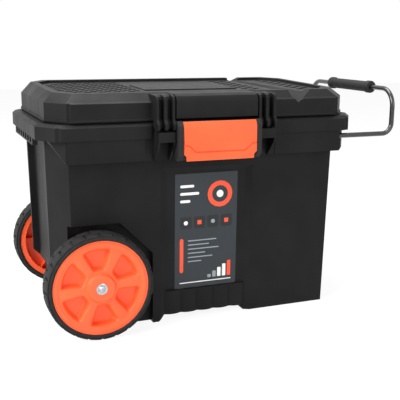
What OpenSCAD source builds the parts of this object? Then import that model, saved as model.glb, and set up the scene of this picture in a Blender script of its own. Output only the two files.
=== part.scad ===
// Wheeled toolbox: a tub with a moulded rim, a hinged lid with a front latch, two spoked
// wheels on one axle, and a steel handle that slides out of channels under the rim.
// Z is up. X runs along the box towards the handle, Y from the latch to the hinges.
// The origin is under the middle of the whole object, on the floor.

/* [Tub] */
// Length of the tub under its rim
body_l = 575; // [545:1:600]
// Width of the tub under its rim
body_w = 296; // [270:1:320]
// Height of the mouth of the tub
mouth_z = 375; // [360:1:400]
// Wall thickness of the moulded parts
wall = 3; // [2.5:0.1:3.5]
// How far each long side draws in from mouth to floor
draft_y = 5; // [2:0.5:8]
// How far each end draws in from mouth to floor
draft_x = 7; // [3:0.5:9]
// Corner facet, measured along the length
facet_x = 30; // [24:1:36]
// Corner facet, measured across the width
facet_y = 40; // [32:1:46]
// Height of the raised floor between the feet
arch_h = 11; // [8:0.5:14]
// Height at which the heel slope meets the left end
heel_z = 97; // [80:1:110]
// Half width of the finger recess in the left end
end_half = 88; // [70:1:90]
// Depth of that recess
end_depth = 12; // [8:0.5:13]

/* [Rim and channels] */
// Height of the rim band
band_h = 28; // [24:1:32]
// How far the band stands out past the tub at each end
band_over = 19.5; // [18:0.5:22]
// Depth of the skirt that hides the handle channels
skirt_h = 39; // [34:1:44]
// Clear width of a handle channel
channel_w = 14.5; // [14:0.5:17]
// How far a front panel stands proud of the band and the lid
proud = 3.8; // [2:0.1:4.5]

/* [Label recess] */
// Half width of the recess at the front face
recess_half = 90; // [86:1:94]
// Height of the top edge of the recess
recess_top = 290; // [284:1:298]
// Depth of the recess
recess_depth = 6; // [4:0.5:6.5]
// Width of the slope around the recess
recess_slope = 12; // [8:1:14]
// Number of flutes under the label
flute_count = 5; // [3:1:7]
// Width of one flute
flute_pitch = 33; // [20:1:34]
// Width of the label
label_w = 124; // [90:1:136]
// Height of the label
label_h = 218; // [180:1:226]
// Thickness of the label
label_t = 0.5; // [0.4:0.1:1]

/* [Lid] */
// How far the lid sits in from the band at the front and back
lid_step_y = 6.5; // [5:0.5:8]
// How far the lid sits in from the band at the ends
lid_step_x = 17.5; // [15:0.5:20]
// Height of the upright side of the lid
lid_side_h = 33.6; // [30:0.2:36]
// Height of the bevel above it, at the front
lid_bevel_h = 15; // [12:0.5:18]
// Width of the bevel
lid_bevel = 17; // [14:0.5:20]
// Extra height of the top at the back edge
lid_rise = 7; // [3:0.5:10]
// Width of the frame around the sunken top
frame_w = 12; // [9:0.5:15]
// Depth of the sunken top
sink = 5; // [4.5:0.5:8]
// Half length of the smooth raised pad in the middle of the top
pad_half = 92; // [70:1:100]
// How far the pad stays below the frame
pad_drop = 3; // [2:0.1:4]
// Place of the vee groove that holds stock for sawing
vee_x = 172; // [150:1:190]
// Depth of the vee groove at the front
vee_depth = 21.7; // [16:0.1:22]

/* [Hinges] */
// Place of each hinge along the back, from the middle
hinge_x = 170; // [120:1:200]
// Diameter of a hinge pin
hinge_pin_d = 4; // [3:0.5:5]
// Width of the lid knuckle
knuckle_w = 26; // [18:1:34]
// Width of each tub knuckle
ear_w = 14; // [10:1:18]

/* [Latch] */
// Half width of the latch
latch_half = 78.8; // [70:0.2:84]
// Half width of the coloured cover
cover_half = 68.5; // [60:0.5:70]
// Height of the latch
latch_h = 69; // [60:1:70]
// Distance from the tub wall to the face of the cover
latch_reach = 58; // [56:0.5:62]
// Diameter of the latch pin
latch_pin_d = 4; // [3:0.5:5]
// Width of the ribbed column on each side of the latch
column_w = 33.5; // [30:0.5:38]

/* [Handle] */
// Diameter of the handle rod
rod_d = 9.5; // [8:0.5:10]
// How far the handle stands out past the tub, as drawn
handle_reach = 100.5; // [92:0.5:112]
// Height of the grip above the floor
grip_z = 421; // [410:1:430]
// Diameter of the grip
grip_d = 22; // [20:0.5:24]
// Length of the grip
grip_l = 152; // [140:1:190]
// How far the grip sits off the middle, towards the latch side
grip_shift = 4; // [0:1:20]
// Place of the inner end of each leg
leg_end_x = -150; // [-170:1:-130]
// Length of the guide in which each leg slides
guide_l = 62; // [40:1:70]

/* [Wheels] */
// Distance from the end of the tub to the axle
wheel_inset = 73.5; // [71:0.5:78]
// Width of a tyre
tyre_w = 43; // [40:0.5:46]
// Radius of the coloured disc
disc_r = 84.3; // [80:0.1:86]
// Height of the tyre above that disc
tyre_wall = 10.7; // [9:0.1:12]
// Number of pockets in a wheel
pocket_count = 6; // [5:1:7]
// Number of tread blocks in a row
tread_count = 24; // [18:1:36]
// Diameter of the axle
axle_d = 10; // [8:0.5:12]

/* [Hidden] */
$fn = 64;

// Colours
black_pp = "#2b2b2b";
dark_grey = "#3a3a3a";
orange_pp = "#ff6f3c";
steel_black = "#202022";
zinc = "#c8ccd0";
tyre_black = "#262626";
label_slate = "#2b3440";

// Clearances
eps = 0.01;
run_fit = 0.05;
slide_fit = 0.3;
part_gap = 0.4;
lid_gap = 0.5;

// Rim, skirt and lid outlines, worked out from the tub
body_half_w = body_w / 2;
body_half_l = body_l / 2;
band_z = mouth_z - band_h;
skirt_z = band_z - skirt_h;
skirt_w = body_w + 2 * (channel_w + wall);
skirt_l = body_l + 13;
band_step = 0.8;
tub_facet_y = facet_y + 10;
band_facet_x = facet_x - 4;
band_w = skirt_w + 2 * band_step;
band_l = body_l + 2 * band_over;
band_round = 5;
band_front = band_w / 2 + proud;
lid_w = band_w - 2 * lid_step_y;
lid_l = band_l - 2 * lid_step_x;
lid_z = mouth_z + lid_gap;
lid_shoulder = lid_z + lid_side_h;
lid_top = lid_shoulder + lid_bevel_h;
top_half_w = lid_w / 2 - lid_bevel;
top_half_l = lid_l / 2 - lid_bevel;
top_tilt = atan(lid_rise / (2 * top_half_w));
lip_h = 4;
lip_out = 1.5;
panel_lip = 1.2;
pad_front = -62;
pad_back = 42;
vee_tilt = 3.2;
vee_skew = 1;
vee_high = 50;
vee_run = 85;

// Central unit: columns, panel, latch and brackets
panel_half = latch_half + 0.7;
column_out = panel_half + column_w;
latch_face = body_half_w + latch_reach;
column_face = latch_face - 16;
latch_top = mouth_z + 4;
latch_low = latch_top - latch_h;
latch_axis_y = latch_face - 14;
latch_axis_z = latch_top - 8;
latch_gap = 3.5;
catch_face = latch_face - 26;
catch_half = cover_half - 6;
cover_t = 5;
pin_boss_d = 14;
frame_wall = 4.5;
fin_w = 6;
groove_depth = 14;
panel_groove = 2.6;
flare_low = mouth_z - 14;
flare_out = column_face + 7;
bracket_top = flare_low - 1.2;
bracket_low = bracket_top - 17;

// Hinges
hinge_y = band_w / 2 + 10;
hinge_z = mouth_z + 4;
hinge_r = hinge_pin_d / 2 + 4;

// Handle
handle_x = body_half_l + handle_reach;
rod_y = body_half_w + channel_w / 2;
rod_z = band_z - 12;
low_bend = 20;
high_bend = 34;
grip_r = grip_d / 2;
collar_r = grip_r + 1.5;
stop_r = channel_w / 2 - 0.9;
stop_l = 12;
guide_x = skirt_l / 2 - facet_x;

// Wheels
wheel_x = body_half_l - wheel_inset;
tyre_r = disc_r + tyre_wall;
axle_z = tyre_r;
tyre_in = body_half_w + 1;
tyre_out = tyre_in + tyre_w;
hub_out = tyre_out + 2.5;
hub_r = 25;
axle_end = hub_out + 4.5;
well_depth = 20;
well_in = body_half_w - well_depth;
well_back = wheel_x + 45;
well_top = axle_z + tyre_r + 6;
well_room = 13;
well_front = wheel_x - tyre_r - well_room;
well_bevel = 61;
boss_out = tyre_in - 5;
washer_t = 2;
hub_in = boss_out + 0.2 + washer_t + 0.2;
tread_h = 2.5;
arch_back = -94;
arch_front = 80;

// The whole object, for the place of the origin
mid_x = (handle_x + collar_r - wheel_x - tyre_r) / 2;
mid_y = (axle_end - latch_face) / 2;

// Half size of the drafted tub at a height
function half_w(z) = body_half_w - draft_y * (1 - z / mouth_z);
function half_l(z) = body_half_l - draft_x * (1 - z / mouth_z);
heel_x = half_l(heel_z) - heel_z;

// Points of the arc that closes a wheel pocket
function arc(r, a) = [for (i = [-4 : 4]) [r * cos(i * a / 4), r * sin(i * a / 4)]];

// Outline of a wheel well in the XZ plane, grown by g
function well_outline(g) = [[-well_back - g, -1], [-well_back - g, well_top + g],
    [-well_front - well_bevel + 0.41 * g, well_top + g],
    [-well_front + g, well_top - well_bevel + 0.41 * g], [-well_front + g, -1]];

// Shared shapes

module placed() translate([-mid_x, -mid_y, 0]) children();

// Rectangle with four corner facets
module facet_plate(l, w, fx = facet_x, fy = facet_y) polygon([
    [-l / 2, -w / 2 + fy], [-l / 2 + fx, -w / 2], [l / 2 - fx, -w / 2], [l / 2, -w / 2 + fy],
    [l / 2, w / 2 - fy], [l / 2 - fx, w / 2], [-l / 2 + fx, w / 2], [-l / 2, w / 2 - fy]]);

// Extrudes an XZ outline along Y, from y0 to y1
module along_y(y0, y1) translate([0, y1, 0]) rotate([90, 0, 0]) linear_extrude(y1 - y0) children();

// Extrudes an outline drawn as (distance towards the latch, height) along X
module along_x(x0, x1) translate([x0, 0, 0]) rotate([90, 0, -90]) mirror([0, 0, 1])
    linear_extrude(x1 - x0) children();

// Rod, bore or pin along X or Y
module bar_x(x0, x1, d) translate([x0, 0, 0]) rotate([0, 90, 0]) cylinder(h = x1 - x0, d = d);
module bar_y(y0, y1, d) translate([0, y0, 0]) rotate([-90, 0, 0]) cylinder(h = y1 - y0, d = d);

module both_sides() {
    children();
    mirror([0, 1, 0]) children();
}

module both_ends() {
    children();
    mirror([1, 0, 0]) children();
}

// Plan of a panel d proud of the face at y, from x0 to x1, whose outer end runs out in a curve
module panel_plan(x0, x1, y, d) polygon(concat([[x0, 3 - y], [x0, -y - d]],
    [for (t = [0 : 18 : 90]) [x1 - 9 + 9 * sin(t), -y - d * cos(t)]], [[x1, 3 - y]]));

// Frame that lies in the drafted front face: local Y points into the tub
module front_face() translate([0, -half_w(0), 0]) rotate([atan(draft_y / mouth_z), 0, 0]) children();

// Frame that lies in the drafted left end: local X points into the tub
module left_face() translate([-half_l(0), 0, 0]) rotate([0, -atan(draft_x / mouth_z), 0]) children();

// Tub

module drafted_box(inset, z0, z1) hull() {
    translate([0, 0, z0]) linear_extrude(eps)
        facet_plate(2 * (half_l(z0) - inset), 2 * (half_w(z0) - inset), facet_x, tub_facet_y);
    translate([0, 0, z1 - eps]) linear_extrude(eps)
        facet_plate(2 * (half_l(z1) - inset), 2 * (half_w(z1) - inset), facet_x, tub_facet_y);
}

// Slope under the left end, with g of wall left on it
module heel_cut(g) along_y(-body_w, body_w) polygon([[-body_l, -10], [-heel_x + 10 + 1.42 * g, -10],
    [-body_l, body_l - heel_x + 1.42 * g]]);

// Small slope under the right end
module toe_cut(g) along_y(-body_w, body_w) polygon([[body_l, -10],
    [half_l(0) - arch_h - 10 - 1.42 * g, -10], [body_l, body_l - half_l(0) + arch_h + 1.42 * g]]);

// Clear space between the feet
module arch_cut(g) along_y(-body_w, body_w) polygon([[arch_back - g, -1], [arch_back - g, 0],
    [arch_back + arch_h - 0.41 * g, arch_h + g], [arch_front - arch_h + 0.41 * g, arch_h + g],
    [arch_front + g, 0], [arch_front + g, -1]]);

module well_cuts(g) both_sides() along_y(-body_w, -well_in + g) polygon(well_outline(g));

module label_recess() front_face() hull() {
    translate([-recess_half, -1, -2]) cube([2 * recess_half, 1 + eps, recess_top + 2]);
    translate([-recess_half + recess_slope, -1, -2])
        cube([2 * (recess_half - recess_slope), 1 + recess_depth, recess_top - recess_slope + 2]);
}

// Convex flutes between the label and the floor
module flutes() {
    sag = recess_depth - 1.6;
    flute_r = (flute_pitch * flute_pitch / 4 + sag * sag) / (2 * sag);
    flute_top = recess_top - recess_slope - label_h - 3;
    front_face() intersection() {
        translate([-recess_half, 0, arch_h])
            cube([2 * recess_half, recess_depth + 0.5, flute_top - arch_h]);
        for (i = [0 : flute_count - 1])
            translate([(i - (flute_count - 1) / 2) * flute_pitch, 1 + flute_r, 0])
                cylinder(h = flute_top, r = flute_r, $fn = 96);
    }
}

// Space where fingers reach behind the left end of the rim
module end_recess(g) left_face()
    translate([-1, -end_half - g, -20]) cube([1 + end_depth + g, 2 * (end_half + g), band_z + 19]);

module tub_cavity() difference() {
    drafted_box(wall, wall, mouth_z + 1);
    heel_cut(wall);
    toe_cut(wall);
    arch_cut(wall);
    well_cuts(wall);
    end_recess(wall);
    front_face() translate([-recess_half - wall, -1, -2])
        cube([2 * (recess_half + wall), 1 + recess_depth + wall, recess_top + wall + 2]);
    translate([-wheel_x, 0, axle_z]) bar_y(-body_half_w, body_half_w, axle_d + 12);
}

// Band around the mouth, open below like a gutter
module rim_band() {
    difference() {
        union() {
            translate([0, 0, band_z]) linear_extrude(band_h - band_round + eps)
                facet_plate(band_l, band_w, band_facet_x);
            hull() {
                translate([0, 0, mouth_z - band_round]) linear_extrude(eps)
                    facet_plate(band_l, band_w, band_facet_x);
                translate([0, 0, mouth_z - eps]) linear_extrude(eps)
                    facet_plate(band_l - 2 * band_round, band_w - 2 * band_round, band_facet_x);
            }
        }
        translate([0, 0, band_z - 1]) linear_extrude(band_h - wall + 1)
            facet_plate(band_l - 2 * wall, band_w - 2 * wall, band_facet_x);
    }
    panel_end = band_l / 2 - band_facet_x - 6;
    both_ends() intersection() {
        along_x(column_out + 2, panel_end) polygon([
            [band_w / 2 - 1, band_z], [band_front, band_z], [band_front, mouth_z - band_round - 1],
            [band_w / 2 - band_round, mouth_z], [band_w / 2 - band_round - 1, mouth_z - 1]]);
        union() {
            linear_extrude(mouth_z + 1) panel_plan(column_out + 2, panel_end, band_w / 2, proud);
            translate([0, -band_w / 2 + 2, 0]) cube([panel_end, band_w, mouth_z + 1]);
        }
    }
}

// Channel walls that carry the handle rods along both sides
module skirts() {
    low_x = -half_l(skirt_z) + facet_x - 6;
    difference() {
        translate([0, 0, skirt_z]) linear_extrude(skirt_h + eps) facet_plate(skirt_l, skirt_w);
        intersection() {
            translate([0, 0, skirt_z + wall]) linear_extrude(skirt_h)
                facet_plate(skirt_l - 2 * wall, skirt_w - 2 * wall);
            translate([low_x + wall, -skirt_w, 0]) cube([2 * skirt_l, 2 * skirt_w, mouth_z]);
        }
        // slanted edge at the left end, and no skirt across the ends of the tub
        along_y(-skirt_w, skirt_w) polygon([[-skirt_l, skirt_z - 1], [low_x, skirt_z - 1],
            [low_x - 26, band_z + 1], [-skirt_l, band_z + 1]]);
        translate([0, -body_half_w + facet_y, skirt_z - 1]) cube([skirt_l, body_w - 2 * facet_y, skirt_h + 2]);
        // the left corners keep their solid gussets, but the finger recess between them stays clear
        translate([-skirt_l, -end_half - 4, skirt_z - 1])
            cube([skirt_l + low_x + wall, 2 * end_half + 8, skirt_h + 2]);
        // rod slots in the right corners
        both_sides() {
            translate([guide_x, -skirt_w / 2 - 1, skirt_z + wall])
                cube([facet_x + 20, channel_w + wall + 1 - 0.5, skirt_h]);
            translate([guide_x - wall - 1, -skirt_w / 2 + wall, skirt_z + wall])
                cube([facet_x, channel_w - 0.5, skirt_h]);
        }
    }
    both_ends() along_x(column_out + 12, skirt_l / 2 - facet_x - 2) polygon([
        [skirt_w / 2 - 1, skirt_z], [skirt_w / 2 + 1.3, skirt_z], [skirt_w / 2 + 1.3, band_z + eps],
        [skirt_w / 2 - 1, band_z + eps]]);
    // low ribs that the caps of the legs slide over
    both_sides() for (x = [-230, -110, 10, 110]) translate([x, -skirt_w / 2 + 1, skirt_z + 1])
        cube([3, channel_w + wall + 1, rod_z - stop_r - part_gap - skirt_z - 1]);
}

// Ribbed rail under the left end of the rim
module grip_rail() {
    rail_x = -band_l / 2 + 0.5;
    rail_half = 95;
    rail_z = band_z - 13;
    rib_w = 11;
    rib_pitch = (2 * rail_half - rib_w) / 7;
    translate([rail_x, -rail_half, rail_z]) cube([9, 2 * rail_half, 3.5]);
    for (i = [0 : 7]) translate([rail_x, -rail_half + i * rib_pitch, rail_z + 3]) cube([9, rib_w, 14]);
}

// Block that the latch closes against
module latch_catch() along_x(-catch_half, catch_half) polygon([
    [skirt_w / 2 - 2, skirt_z + 8], [catch_face - 2, skirt_z + 12], [catch_face, skirt_z + 17],
    [catch_face, skirt_z + 27], [skirt_w / 2 - 2, skirt_z + 33]]);

module hinge_ear(x0) {
    translate([0, hinge_y, hinge_z]) bar_x(x0, x0 + ear_w, 2 * hinge_r);
    translate([x0, band_w / 2 - wall, mouth_z - 16]) cube([ear_w, wall + 10, 14]);
    translate([x0, hinge_y - hinge_r, hinge_z - 8]) cube([ear_w, 2 * hinge_r, 8]);
}

module hinge_ears() both_ends() for (x = [hinge_x - knuckle_w / 2 - part_gap - ear_w,
    hinge_x + knuckle_w / 2 + part_gap]) hinge_ear(x);

module axle_bosses() both_sides() translate([-wheel_x, 0, axle_z])
    bar_y(-boss_out, -well_in + 1, axle_d + 24);

module tub() color(black_pp) placed() difference() {
    union() {
        difference() {
            union() {
                difference() {
                    drafted_box(0, 0, mouth_z);
                    heel_cut(0);
                    toe_cut(0);
                    arch_cut(0);
                    well_cuts(0);
                    end_recess(0);
                    label_recess();
                }
                flutes();
                rim_band();
                skirts();
                axle_bosses();
            }
            tub_cavity();
        }
        grip_rail();
        latch_catch();
        hinge_ears();
    }
    translate([-wheel_x, 0, axle_z]) bar_y(-body_w, body_w, axle_d + 2 * run_fit);
    translate([0, hinge_y, hinge_z]) bar_x(-body_l / 2, body_l / 2, hinge_pin_d + 2 * run_fit);
}

// Shelf on two gussets, welded to the front of the rim and the skirt under a ribbed column
module bracket() {
    x0 = panel_half + 1;
    x1 = column_out - 2;
    along_x(x0, x1) polygon([[skirt_w / 2, bracket_low], [flare_out, bracket_low],
        [flare_out, bracket_low + 3], [flare_out - 1.2, bracket_low + 3],
        [flare_out - 1.2, bracket_top], [band_w / 2, bracket_top], [band_w / 2, band_z],
        [skirt_w / 2, band_z]]);
    for (x = [x0, x1 - wall]) along_x(x, x + wall) polygon([[skirt_w / 2, bracket_low + 1],
        [flare_out - 1.2, bracket_low + 1], [flare_out - 2, bracket_low - 6],
        [skirt_w / 2 + 3, skirt_z], [skirt_w / 2, skirt_z]]);
}

module bracket_left() color(black_pp) placed() mirror([1, 0, 0]) bracket();
module bracket_right() color(black_pp) placed() bracket();

// Lid

// Frame that lies in the sloping top: local Z is zero at the top surface
module top_face() translate([0, -top_half_w, lid_top]) rotate([top_tilt, 0, 0])
    translate([0, top_half_w, 0]) children();

// Bevelled crown, drawn in by t on every side
module crown(t) {
    translate([0, 0, lid_z - 1 + (t > 0 ? 0 : 1)]) linear_extrude(lid_side_h + (t > 0 ? 1 : 0))
        facet_plate(lid_l - 2 * t, lid_w - 2 * t);
    hull() {
        translate([0, 0, lid_shoulder - eps]) linear_extrude(eps)
            facet_plate(lid_l - 2 * t, lid_w - 2 * t);
        top_face() translate([0, 0, -t - eps]) linear_extrude(eps) facet_plate(
            lid_l - 2 * lid_bevel - t, lid_w - 2 * lid_bevel - t, facet_x - 2, facet_y - 4);
    }
}

// Sunken middle of the top, grown by g
module top_sink(g) top_face() translate([0, 0, -sink - g]) linear_extrude(sink + g + 30)
    facet_plate(lid_l - 2 * (lid_bevel + frame_w) + 2 * g, lid_w - 2 * (lid_bevel + frame_w) + 2 * g,
        facet_x - 2, facet_y - 4);

// Smooth raised pad between the two anti-slip fields
module top_pad() top_face() translate([-pad_half, pad_front, -sink - 1])
    cube([2 * pad_half, pad_back - pad_front, sink + 1 - pad_drop]);

// Vee groove across the top, steep on the left and shallow on the right, which falls towards the
// front; grown by g
module vee_cut(g) translate([vee_x, -lid_w / 2, lid_top - vee_depth]) rotate([vee_tilt, 0, vee_skew])
    along_y(-40, lid_w + 40) polygon([[-16 - g, vee_high], [-9 - g, 9 - 0.42 * g], [0, -1.42 * g],
        [vee_run, vee_high - 1.42 * g]]);

// Side outline of a ribbed column: frame or, set back by d, the floor of its grooves
module column_outline(d) polygon([[top_half_w - 4, lid_top - 1.5], [column_face - 9 - d, lid_top - 2.5],
    [column_face - 3 - d, lid_top - 5], [column_face - d, lid_top - 10],
    [column_face - d, mouth_z + 6], [flare_out - d, mouth_z - 2], [flare_out - d, flare_low + 4],
    [flare_out - 4 - d, flare_low], [flare_out - 12 - d / 2, flare_low], [band_front + 1.2, flare_low + 10],
    [band_front + 1.2, lid_z + 3], [lid_w / 2 - 2, lid_z + 3], [lid_w / 2 - 2, lid_shoulder]]);

module columns() both_ends() {
    fin_x = (panel_half + column_out - fin_w) / 2;
    along_x(panel_half + 1, column_out - 1) column_outline(groove_depth);
    along_x(fin_x, fin_x + fin_w) column_outline(1);
    for (x = [panel_half, column_out - frame_wall]) along_x(x, x + frame_wall) column_outline(0);
}

// Side outline of the front panel, set back by d
module panel_outline(d) polygon([[top_half_w - 4, lid_top - 0.5], [column_face - 14 - d, lid_top - 0.5],
    [column_face - 5 - d, lid_top - 4], [column_face - 1.5 - d, lid_top - 9], [column_face - d, lid_top - 14],
    [column_face - d, latch_top + latch_gap], [lid_w / 2 - 2, latch_top + latch_gap]]);

// Front panel between the columns, with a groove down each side, open below
module centre_panel() {
    edge_x = panel_half - panel_groove;
    difference() {
        union() {
            along_x(-edge_x, edge_x) panel_outline(0);
            along_x(-panel_half - 1, panel_half + 1) panel_outline(8);
        }
        along_x(-edge_x + wall, edge_x - wall) polygon([
            [lid_w / 2 + 1, latch_top], [lid_w / 2 + 1, lid_top - 14], [column_face - 9, lid_top - 14],
            [column_face - wall, lid_top - 19], [column_face - wall, latch_top]]);
    }
}

// Proud front panels and the lip that runs round the lower edge
module lid_trim() {
    panel_end = lid_l / 2 - facet_x - 4;
    both_ends() intersection() {
        along_x(column_out - 1, panel_end) polygon([[lid_w / 2 - 1, lid_z + 2],
            [lid_w / 2 + proud + panel_lip, lid_z + 2], [lid_w / 2 + proud + panel_lip, lid_z + 4.5],
            [lid_w / 2 + proud, lid_z + 6], [lid_w / 2 + proud, lid_shoulder - 1],
            [lid_w / 2 - 1, lid_shoulder + 2]]);
        linear_extrude(lid_top) panel_plan(column_out - 1, panel_end, lid_w / 2, proud + panel_lip);
    }
    translate([0, 0, lid_z + 2]) linear_extrude(lip_h)
        facet_plate(lid_l + 2 * lip_out, lid_w + 2 * lip_out);
}

// Rib under the lid that drops inside the mouth of the tub, on a flange from the lid's side
module lid_tongue() {
    tongue_l = body_l - 2 * wall - 4;
    tongue_w = body_w - 2 * wall - 4;
    translate([0, 0, lid_z - 6]) linear_extrude(8) difference() {
        facet_plate(tongue_l, tongue_w, facet_x, tub_facet_y);
        facet_plate(tongue_l - 2 * wall, tongue_w - 2 * wall, facet_x, tub_facet_y);
    }
    translate([0, 0, lid_z + 0.8]) linear_extrude(wall) difference() {
        facet_plate(lid_l - wall, lid_w - wall);
        facet_plate(tongue_l - 2 * wall, tongue_w - 2 * wall, facet_x, tub_facet_y);
    }
}

module lid_knuckles() both_ends() {
    translate([0, hinge_y, hinge_z]) bar_x(hinge_x - knuckle_w / 2, hinge_x + knuckle_w / 2, 2 * hinge_r);
    translate([hinge_x - knuckle_w / 2, lid_w / 2 - 2, hinge_z - 2])
        cube([knuckle_w, hinge_y - lid_w / 2 + 2, 8]);
}

module lid() color(black_pp) placed() difference() {
    union() {
        difference() {
            union() {
                crown(0);
                lid_trim();
            }
            top_sink(0);
            difference() {
                crown(wall);
                top_sink(wall);
                vee_cut(wall);
            }
        }
        intersection() {
            top_pad();
            crown(0);
        }
        columns();
        centre_panel();
        lid_tongue();
        lid_knuckles();
    }
    vee_cut(0);
    translate([0, -latch_axis_y, latch_axis_z])
        bar_x(-panel_half - frame_wall + 1, panel_half + frame_wall - 1, latch_pin_d + 2 * run_fit);
    translate([0, hinge_y, hinge_z]) bar_x(-body_l / 2, body_l / 2, hinge_pin_d + 2 * run_fit);
}

module hinge_pin() {
    half = knuckle_w / 2 + part_gap + ear_w;
    translate([0, hinge_y, hinge_z]) {
        bar_x(-half, half, hinge_pin_d);
        bar_x(half, half + 1.5, hinge_pin_d + 3);
    }
}

module hinge_pin_left() color(zinc) placed() translate([-hinge_x, 0, 0]) hinge_pin();
module hinge_pin_right() color(zinc) placed() translate([hinge_x, 0, 0]) hinge_pin();

// Latch

// Cheeks and web of the latch, which swings on its pin under the lid
module latch_frame() color(dark_grey) placed() difference() {
    cheek_back = latch_face - 25;
    union() {
        both_ends() along_x(cover_half + 0.3, latch_half) polygon([
            [latch_axis_y - 6, latch_top - 3], [latch_axis_y, latch_top - 0.5],
            [latch_face - 7, latch_top - 1], [latch_face - 1.5, latch_top - 9],
            [latch_face - 1.5, latch_low + 8], [latch_face - 9, latch_low],
            [cheek_back + 7, latch_low], [cheek_back, latch_low + 10], [cheek_back, latch_axis_z - 14]]);
        // web behind the cover
        along_x(-cover_half - 1, cover_half + 1) polygon([
            [latch_axis_y + 1, latch_top - 8], [latch_face - 9.5, latch_top - 8],
            [latch_face - cover_t, latch_top - 15], [latch_face - cover_t, latch_low + 3],
            [latch_face - 9, latch_low + 1], [latch_face - 10, latch_low + 10],
            [latch_face - 9, latch_top - 18], [latch_axis_y + 1, latch_top - 12]]);
        // hook, as wide as the catch
        along_x(-catch_half, catch_half) polygon([
            [latch_face - 7.5, latch_low + 2], [catch_face + part_gap, latch_low + 5],
            [catch_face + part_gap, latch_low + 8], [latch_face - 7.5, latch_low + 10]]);
        translate([0, -latch_axis_y, latch_axis_z]) bar_x(-latch_half, latch_half, pin_boss_d);
    }
    translate([0, -latch_axis_y, latch_axis_z]) bar_x(-latch_half - 1, latch_half + 1, latch_pin_d + 2 * run_fit);
}

// Coloured pull of the latch: a shell with a sloping top and notched lower corners
module latch_cover() color(orange_pp) placed() difference() {
    notch = 5;
    intersection() {
        along_x(-cover_half, cover_half) polygon([[latch_face - cover_t, latch_low], [latch_face, latch_low],
            [latch_face, latch_top - 12], [latch_face - 6, latch_top - 1.5],
            [latch_face - 7.5, latch_top - 1.5], [latch_face - cover_t, latch_top - 5.5]]);
        along_y(-latch_face - 1, -latch_face + 12) polygon([
            [-cover_half, latch_top], [-cover_half, latch_low + 12], [-cover_half + notch, latch_low + 7],
            [-cover_half + notch, latch_low], [cover_half - notch, latch_low],
            [cover_half - notch, latch_low + 7], [cover_half, latch_low + 12], [cover_half, latch_top]]);
    }
    // fine trapezoid step across the lower face
    along_y(-latch_face - 1, -latch_face + 0.5) difference() {
        polygon([[-cover_half - 1, latch_low + 27.5], [-cover_half + 9, latch_low + 27.5],
            [-cover_half + 22, latch_low + 15.5], [cover_half - 22, latch_low + 15.5],
            [cover_half - 9, latch_low + 27.5], [cover_half + 1, latch_low + 27.5],
            [cover_half + 1, latch_low + 26.3], [cover_half - 8.5, latch_low + 26.3],
            [cover_half - 21.5, latch_low + 14.3], [-cover_half + 21.5, latch_low + 14.3],
            [-cover_half + 8.5, latch_low + 26.3], [-cover_half - 1, latch_low + 26.3]]);
    }
}

module latch_pin() color(zinc) placed() translate([0, -latch_axis_y, latch_axis_z])
    bar_x(-panel_half - frame_wall + 1.2, panel_half + frame_wall - 1.2, latch_pin_d);

// Handle

// Quarter bend in the XY plane, from heading +X to heading +Y
module quarter_bend(r) rotate_extrude(angle = 90) translate([r, 0]) circle(d = rod_d);

module rod_half() {
    leg_end = handle_x - low_bend;
    post_top = grip_z - high_bend;
    translate([0, -rod_y, rod_z]) bar_x(leg_end_x, leg_end, rod_d);
    translate([leg_end, -rod_y, rod_z + low_bend]) rotate([90, 0, 0]) rotate([0, 0, -90]) quarter_bend(low_bend);
    translate([handle_x, -rod_y, rod_z + low_bend]) cylinder(h = post_top - rod_z - low_bend, d = rod_d);
    translate([handle_x, -rod_y + high_bend, post_top]) rotate([0, -90, 0]) rotate([0, 0, -90])
        quarter_bend(high_bend);
    translate([handle_x, 0, grip_z]) bar_y(-rod_y + high_bend, 0, rod_d);
}

module handle_rod() color(steel_black) placed() both_sides() rod_half();

// Grip sleeve with a collar at each end
module handle_grip() color(steel_black) placed() translate([handle_x, -grip_shift, grip_z]) difference() {
    half = grip_l / 2;
    rotate([90, 0, 0]) rotate_extrude() polygon([[0, -half], [grip_r, -half], [collar_r, -half + 2],
        [collar_r, -half + 12], [grip_r, -half + 15], [grip_r, half - 15], [collar_r, half - 12],
        [collar_r, half - 2], [grip_r, half], [0, half]]);
    bar_y(-half - 1, half + 1, rod_d + 2 * run_fit);
}

// Cap on the inner end of a leg, which meets the guide when the handle is out
module rod_stop() translate([0, -rod_y, rod_z]) difference() {
    bar_x(leg_end_x - 2, leg_end_x + stop_l, 2 * stop_r);
    bar_x(leg_end_x, leg_end_x + stop_l + 1, rod_d + 2 * run_fit);
}

module rod_stop_front() color(dark_grey) placed() rod_stop();
module rod_stop_rear() color(dark_grey) placed() mirror([0, 1, 0]) rod_stop();

// Guide block that fills the channel at its mouth
module rod_guide() difference() {
    translate([guide_x - 8 - guide_l, -skirt_w / 2 + wall, skirt_z + wall])
        cube([guide_l, channel_w - 0.7, rod_z - skirt_z + 4]);
    translate([0, -rod_y, rod_z]) bar_x(guide_x - 9 - guide_l, guide_x, rod_d + 2 * slide_fit);
}

module rod_guide_front() color(dark_grey) placed() rod_guide();
module rod_guide_rear() color(dark_grey) placed() mirror([0, 1, 0]) rod_guide();

// Running gear: each piece is drawn for the front wheel and mirrored for the rear one

module axle() color(zinc) placed() translate([-wheel_x, 0, axle_z]) rotate([90, 0, 0]) rotate_extrude()
    polygon([[0, -axle_end], [axle_d / 2 - 1, -axle_end], [axle_d / 2, -axle_end + 1],
        [axle_d / 2, axle_end - 1], [axle_d / 2 - 1, axle_end], [0, axle_end]]);

// Local frame of the front wheel: Z is zero at the outer side of the tyre and grows inwards
module wheel_frame() placed() translate([-wheel_x, -tyre_out, axle_z]) rotate([-90, 0, 0]) children();

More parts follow.
